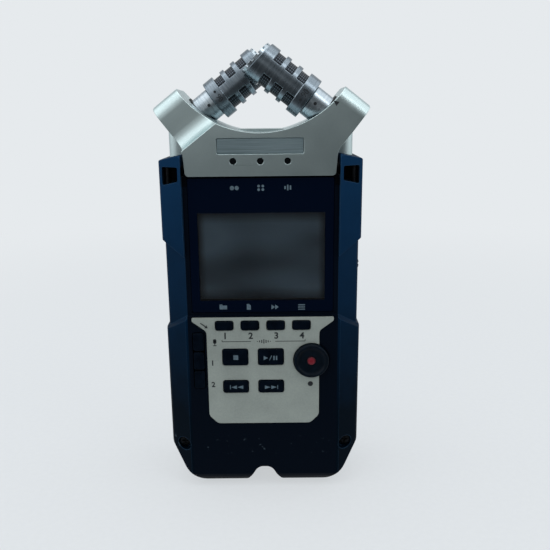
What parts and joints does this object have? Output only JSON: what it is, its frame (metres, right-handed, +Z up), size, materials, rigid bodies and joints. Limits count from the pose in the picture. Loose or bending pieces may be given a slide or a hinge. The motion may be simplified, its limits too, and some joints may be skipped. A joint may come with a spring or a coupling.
{
  "type": "handheld audio recorder",
  "caption": "Handheld digital audio recorder with crossed turning microphones on a horned silver frame, a display, keys on a silver plate and plug sockets in the bottom end.",
  "frame": {"origin": "middle of the bounding box in X and Y, on the standing surface", "axes": "+Z up, the display faces -Y, +X to the right of the display"},
  "size_m": [0.0722, 0.037, 0.1572],
  "materials": {
    "shell": "rubber-feel coating",
    "window": "polished",
    "display": "satin",
    "plate": "satin silver paint",
    "keys": "satin",
    "red_lens": "polished",
    "dark_lens": "polished",
    "boards": "solder mask",
    "frame": "satin silver paint",
    "barrel": "fine turned",
    "mesh": "woven and pierced",
    "capsule": "plated",
    "seal": "matt",
    "steel": "plated",
    "socket": "moulded",
    "cell": "printed sleeve",
    "insert": "turned"
  },
  "bodies": {
    "body": {"front_shell": "shell", "rear_shell": "shell", "display_window": "window", "lcd_panel": "display", "control_plate": "plate", "main_board": "boards", "key_switches": "steel", "mic_frame_front": "frame", "mic_frame_rear": "frame", "badge_insert": "plate", "indicator_lenses": "dark_lens", "left_mic_stem": "barrel", "right_mic_stem": "barrel", "mic_seals": "seal", "strap_pins": "steel", "case_screws": "steel", "input_jack_1": "socket", "input_jack_2": "socket", "input_board": "boards", "battery_tray": "socket", "batteries": "cell", "battery_contacts": "steel", "speaker": "socket", "tripod_insert": "insert", "ext_mic_jack": "socket", "phone_jack": "socket", "usb_port": "steel", "dc_jack": "socket", "sd_socket": "socket", "sd_card": "socket", "sd_cover_pin": "steel"},
    "left_microphone": {"left_mic_barrel": "barrel", "left_mic_mesh": "mesh", "left_mic_grille": "mesh", "left_mic_capsule": "capsule"},
    "right_microphone": {"right_mic_barrel": "barrel", "right_mic_mesh": "mesh", "right_mic_grille": "mesh", "right_mic_capsule": "capsule"},
    "record_button": {"record_key": "keys", "record_lens": "red_lens"},
    "track_key_1": {"track_key_1": "keys"},
    "track_key_2": {"track_key_2": "keys"},
    "track_key_3": {"track_key_3": "keys"},
    "track_key_4": {"track_key_4": "keys"},
    "stop_key": {"stop_key": "keys"},
    "play_key": {"play_key": "keys"},
    "rewind_key": {"rewind_key": "keys"},
    "forward_key": {"forward_key": "keys"},
    "mic_input_key": {"mic_input_key": "keys"},
    "input_1_key": {"input_1_key": "keys"},
    "input_2_key": {"input_2_key": "keys"},
    "menu_key": {"menu_key": "keys"},
    "volume_key": {"volume_key": "keys"},
    "level_key": {"level_key": "keys"},
    "power_switch": {"power_switch": "keys"},
    "dial_carrier": {"dial_carrier": "steel"},
    "dial": {"dial": "keys"},
    "sd_cover": {"sd_cover": "shell"},
    "battery_cover": {"battery_cover": "shell"}
  },
  "joints": [
    {"name": "left_microphone_turn", "type": "hinge", "parent": "body", "child": "left_microphone", "pos_m": [0.0014, 0.008, 0.15282], "axis": [0.7934, 0, 0.6088], "range_deg": [0, 180]},
    {"name": "right_microphone_turn", "type": "hinge", "parent": "body", "child": "right_microphone", "pos_m": [-0.0014, -0.008, 0.15282], "axis": [-0.7934, 0, 0.6088], "range_deg": [0, 180]},
    {"name": "track_key_1_press", "type": "slide", "parent": "body", "child": "track_key_1", "axis": [0, 1, 0], "range_m": [0, 0.0005], "stiffness_N_per_m": 600},
    {"name": "track_key_2_press", "type": "slide", "parent": "body", "child": "track_key_2", "axis": [0, 1, 0], "range_m": [0, 0.0005], "stiffness_N_per_m": 600},
    {"name": "track_key_3_press", "type": "slide", "parent": "body", "child": "track_key_3", "axis": [0, 1, 0], "range_m": [0, 0.0005], "stiffness_N_per_m": 600},
    {"name": "track_key_4_press", "type": "slide", "parent": "body", "child": "track_key_4", "axis": [0, 1, 0], "range_m": [0, 0.0005], "stiffness_N_per_m": 600},
    {"name": "stop_key_press", "type": "slide", "parent": "body", "child": "stop_key", "axis": [0, 1, 0], "range_m": [0, 0.0005], "stiffness_N_per_m": 600},
    {"name": "play_key_press", "type": "slide", "parent": "body", "child": "play_key", "axis": [0, 1, 0], "range_m": [0, 0.0005], "stiffness_N_per_m": 600},
    {"name": "rewind_key_press", "type": "slide", "parent": "body", "child": "rewind_key", "axis": [0, 1, 0], "range_m": [0, 0.0005], "stiffness_N_per_m": 600},
    {"name": "forward_key_press", "type": "slide", "parent": "body", "child": "forward_key", "axis": [0, 1, 0], "range_m": [0, 0.0005], "stiffness_N_per_m": 600},
    {"name": "mic_input_key_press", "type": "slide", "parent": "body", "child": "mic_input_key", "axis": [0, 1, 0], "range_m": [0, 0.0005], "stiffness_N_per_m": 600},
    {"name": "input_1_key_press", "type": "slide", "parent": "body", "child": "input_1_key", "axis": [0, 1, 0], "range_m": [0, 0.0005], "stiffness_N_per_m": 600},
    {"name": "input_2_key_press", "type": "slide", "parent": "body", "child": "input_2_key", "axis": [0, 1, 0], "range_m": [0, 0.0005], "stiffness_N_per_m": 600},
    {"name": "record_key_press", "type": "slide", "parent": "body", "child": "record_button", "axis": [0, 1, 0], "range_m": [0, 0.0005], "stiffness_N_per_m": 600},
    {"name": "menu_key_press", "type": "slide", "parent": "body", "child": "menu_key", "axis": [-1, 0, 0], "range_m": [0, 0.0005], "stiffness_N_per_m": 600},
    {"name": "volume_key_rock", "type": "hinge", "parent": "body", "child": "volume_key", "pos_m": [-0.03145, 0.005, 0.0795], "axis": [0, 1, 0], "range_deg": [-2, 2], "stiffness_Nm_per_rad": 0.05},
    {"name": "level_key_rock", "type": "hinge", "parent": "body", "child": "level_key", "pos_m": [0.03145, 0.005, 0.104], "axis": [0, 1, 0], "range_deg": [-2, 2], "stiffness_Nm_per_rad": 0.05},
    {"name": "power_switch_slide", "type": "slide", "parent": "body", "child": "power_switch", "axis": [0, 0, 1], "range_m": [-0.0025, 0.0025]},
    {"name": "dial_push", "type": "slide", "parent": "body", "child": "dial_carrier", "axis": [-1, 0, 0], "range_m": [0, 0.0005], "stiffness_N_per_m": 600},
    {"name": "dial_turn", "type": "hinge", "parent": "dial_carrier", "child": "dial", "pos_m": [0.0286, 0.005, 0.0805], "axis": [0, 1, 0], "continuous": true},
    {"name": "sd_cover_open", "type": "hinge", "parent": "body", "child": "sd_cover", "pos_m": [0.0338, -0.002, 0.044], "axis": [0, 0, 1], "range_deg": [0, 90]},
    {"name": "battery_cover_slide", "type": "slide", "parent": "body", "child": "battery_cover", "axis": [0, 0, -1], "range_m": [0, 0.006]}
  ]
}
